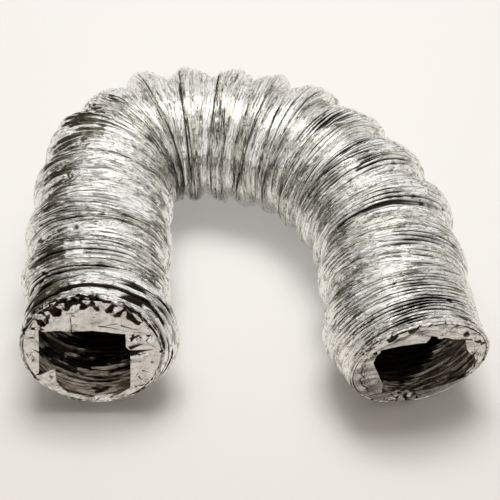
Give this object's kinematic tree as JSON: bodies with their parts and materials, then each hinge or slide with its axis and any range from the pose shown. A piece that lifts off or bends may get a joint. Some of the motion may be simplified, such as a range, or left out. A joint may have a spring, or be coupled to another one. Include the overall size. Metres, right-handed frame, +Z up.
{
  "type": "flexible air duct",
  "caption": "Flexible round air duct of crinkled foil over a spring wire, pressed together and laid in a U, with open ends whose foil is turned in.",
  "frame": {"origin": "middle of the base rectangle, on the surface that the duct lies on", "axes": "+X from the left mouth to the right one, +Y towards the bend, +Z up"},
  "size_m": [0.3662, 0.3111, 0.1186],
  "materials": {
    "outer_foil": "bright crumpled foil",
    "inner_foil": "bright crumpled foil",
    "turned_in_foil": "bright foil, smooth with sharp creases",
    "spring_wire": "drawn spring steel"
  },
  "bodies": {
    "bunch_01": {"outer_ply_01": "outer_foil", "wire_01": "spring_wire", "inner_ply_01": "inner_foil"},
    "bunch_02": {"outer_ply_02": "outer_foil", "wire_02": "spring_wire", "inner_ply_02": "inner_foil"},
    "bunch_03": {"outer_ply_03": "outer_foil", "wire_03": "spring_wire", "inner_ply_03": "inner_foil"},
    "bunch_04": {"outer_ply_04": "outer_foil", "wire_04": "spring_wire", "inner_ply_04": "inner_foil"},
    "bunch_05": {"outer_ply_05": "outer_foil", "wire_05": "spring_wire", "inner_ply_05": "inner_foil"},
    "bunch_06": {"outer_ply_06": "outer_foil", "wire_06": "spring_wire", "inner_ply_06": "inner_foil"},
    "bunch_07": {"outer_ply_07": "outer_foil", "wire_07": "spring_wire", "inner_ply_07": "inner_foil"},
    "bunch_08": {"outer_ply_08": "outer_foil", "wire_08": "spring_wire", "inner_ply_08": "inner_foil"},
    "bunch_09": {"outer_ply_09": "outer_foil", "wire_09": "spring_wire", "inner_ply_09": "inner_foil"},
    "bunch_10": {"outer_ply_10": "outer_foil", "wire_10": "spring_wire", "inner_ply_10": "inner_foil"},
    "bunch_11": {"outer_ply_11": "outer_foil", "wire_11": "spring_wire", "inner_ply_11": "inner_foil"},
    "bunch_12": {"outer_ply_12": "outer_foil", "wire_12": "spring_wire", "inner_ply_12": "inner_foil"},
    "bunch_13": {"outer_ply_13": "outer_foil", "wire_13": "spring_wire", "inner_ply_13": "inner_foil"},
    "bunch_14": {"outer_ply_14": "outer_foil", "wire_14": "spring_wire", "inner_ply_14": "inner_foil"},
    "bunch_15": {"outer_ply_15": "outer_foil", "wire_15": "spring_wire", "inner_ply_15": "inner_foil"},
    "bunch_16": {"outer_ply_16": "outer_foil", "wire_16": "spring_wire", "inner_ply_16": "inner_foil"},
    "left_flap_top": {"left_flap_top": "turned_in_foil"},
    "left_flap_left": {"left_flap_left": "turned_in_foil"},
    "left_flap_bottom": {"left_flap_bottom": "turned_in_foil"},
    "left_flap_right": {"left_flap_right": "turned_in_foil"},
    "right_flap_top": {"right_flap_top": "turned_in_foil"},
    "right_flap_left": {"right_flap_left": "turned_in_foil"},
    "right_flap_bottom": {"right_flap_bottom": "turned_in_foil"},
    "right_flap_right": {"right_flap_right": "turned_in_foil"}
  },
  "joints": [
    {"name": "left_lift_01_02", "type": "hinge", "parent": "bunch_02", "child": "bunch_01", "pos_m": [-0.1228, -0.09363, 0.11553], "axis": [-1, 0, 0], "range_deg": [0, 15]},
    {"name": "left_stretch_02_03", "type": "slide", "parent": "bunch_03", "child": "bunch_02", "axis": [-0.0175, -0.9998, 0], "range_m": [0, 0.12]},
    {"name": "left_bend_03_04", "type": "hinge", "parent": "bunch_04", "child": "bunch_03", "pos_m": [-0.18541, -0.00047, 0.0567], "axis": [0, 0, -1], "range_deg": [0, 15]},
    {"name": "left_stretch_04_05", "type": "slide", "parent": "bunch_05", "child": "bunch_04", "axis": [-0.1219, -0.9925, 0], "range_m": [0, 0.07]},
    {"name": "left_bend_05_06", "type": "hinge", "parent": "bunch_06", "child": "bunch_05", "pos_m": [-0.16373, 0.09759, 0.0567], "axis": [0, 0, -1], "range_deg": [0, 15]},
    {"name": "left_bend_06_07", "type": "hinge", "parent": "bunch_07", "child": "bunch_06", "pos_m": [-0.12453, 0.13748, 0.0567], "axis": [0, 0, -1], "range_deg": [0, 15]},
    {"name": "left_bend_07_08", "type": "hinge", "parent": "bunch_08", "child": "bunch_07", "pos_m": [-0.08184, 0.15538, 0.0567], "axis": [0, 0, -1], "range_deg": [0, 15]},
    {"name": "left_stretch_08_09", "type": "slide", "parent": "bunch_09", "child": "bunch_08", "axis": [-0.9969, 0.0785, 0], "range_m": [0, 0.07]},
    {"name": "right_bend_09_10", "type": "hinge", "parent": "bunch_09", "child": "bunch_10", "pos_m": [0.00674, 0.15176, 0.0567], "axis": [0, 0, 1], "range_deg": [0, 15]},
    {"name": "right_bend_10_11", "type": "hinge", "parent": "bunch_10", "child": "bunch_11", "pos_m": [0.04345, 0.13912, 0.0567], "axis": [0, 0, 1], "range_deg": [0, 15]},
    {"name": "right_bend_11_12", "type": "hinge", "parent": "bunch_11", "child": "bunch_12", "pos_m": [0.08311, 0.11794, 0.0567], "axis": [0, 0, 1], "range_deg": [0, 15]},
    {"name": "right_stretch_12_13", "type": "slide", "parent": "bunch_12", "child": "bunch_13", "axis": [0.6293, -0.7771, 0], "range_m": [0, 0.12]},
    {"name": "right_bend_13_14", "type": "hinge", "parent": "bunch_13", "child": "bunch_14", "pos_m": [0.15435, 0.02792, 0.0567], "axis": [0, 0, 1], "range_deg": [0, 15]},
    {"name": "right_stretch_14_15", "type": "slide", "parent": "bunch_14", "child": "bunch_15", "axis": [0.1908, -0.9816, 0], "range_m": [0, 0.12]},
    {"name": "right_lift_15_16", "type": "hinge", "parent": "bunch_15", "child": "bunch_16", "pos_m": [0.11889, -0.07966, 0.11553], "axis": [-0.9986, -0.0523, 0], "range_deg": [0, 15]},
    {"name": "left_flap_top_fold", "type": "hinge", "parent": "bunch_01", "child": "left_flap_top", "pos_m": [-0.1223, -0.12605, 0.11523], "axis": [-1, 0, 0], "range_deg": [0, 100]},
    {"name": "left_flap_left_fold", "type": "hinge", "parent": "bunch_01", "child": "left_flap_left", "pos_m": [-0.1741, -0.13858, 0.06497], "axis": [0, -0.2419, -0.9703], "range_deg": [0, 100]},
    {"name": "left_flap_bottom_fold", "type": "hinge", "parent": "bunch_01", "child": "left_flap_bottom", "pos_m": [-0.1223, -0.15111, 0.01471], "axis": [1, 0, 0], "range_deg": [0, 100]},
    {"name": "left_flap_right_fold", "type": "hinge", "parent": "bunch_01", "child": "left_flap_right", "pos_m": [-0.0705, -0.13858, 0.06497], "axis": [0, 0.2419, 0.9703], "range_deg": [0, 100]},
    {"name": "right_flap_top_fold", "type": "hinge", "parent": "bunch_16", "child": "right_flap_top", "pos_m": [0.12895, -0.14471, 0.1085], "axis": [-0.9816, -0.1908, 0], "range_deg": [0, 100]},
    {"name": "right_flap_left_fold", "type": "hinge", "parent": "bunch_16", "child": "right_flap_left", "pos_m": [0.07811, -0.15459, 0.0567], "axis": [0, 0, -1], "range_deg": [0, 100]},
    {"name": "right_flap_bottom_fold", "type": "hinge", "parent": "bunch_16", "child": "right_flap_bottom", "pos_m": [0.12895, -0.14471, 0.0049], "axis": [0.9816, 0.1908, 0], "range_deg": [0, 100]},
    {"name": "right_flap_right_fold", "type": "hinge", "parent": "bunch_16", "child": "right_flap_right", "pos_m": [0.1798, -0.13483, 0.0567], "axis": [0, 0, 1], "range_deg": [0, 100]}
  ],
  "couplings": [
    {"joint": "left_flap_left_fold", "follows": "left_flap_top_fold", "ratio": 1},
    {"joint": "left_flap_bottom_fold", "follows": "left_flap_top_fold", "ratio": 1},
    {"joint": "left_flap_right_fold", "follows": "left_flap_top_fold", "ratio": 1},
    {"joint": "right_flap_left_fold", "follows": "right_flap_top_fold", "ratio": 1},
    {"joint": "right_flap_bottom_fold", "follows": "right_flap_top_fold", "ratio": 1},
    {"joint": "right_flap_right_fold", "follows": "right_flap_top_fold", "ratio": 1}
  ]
}
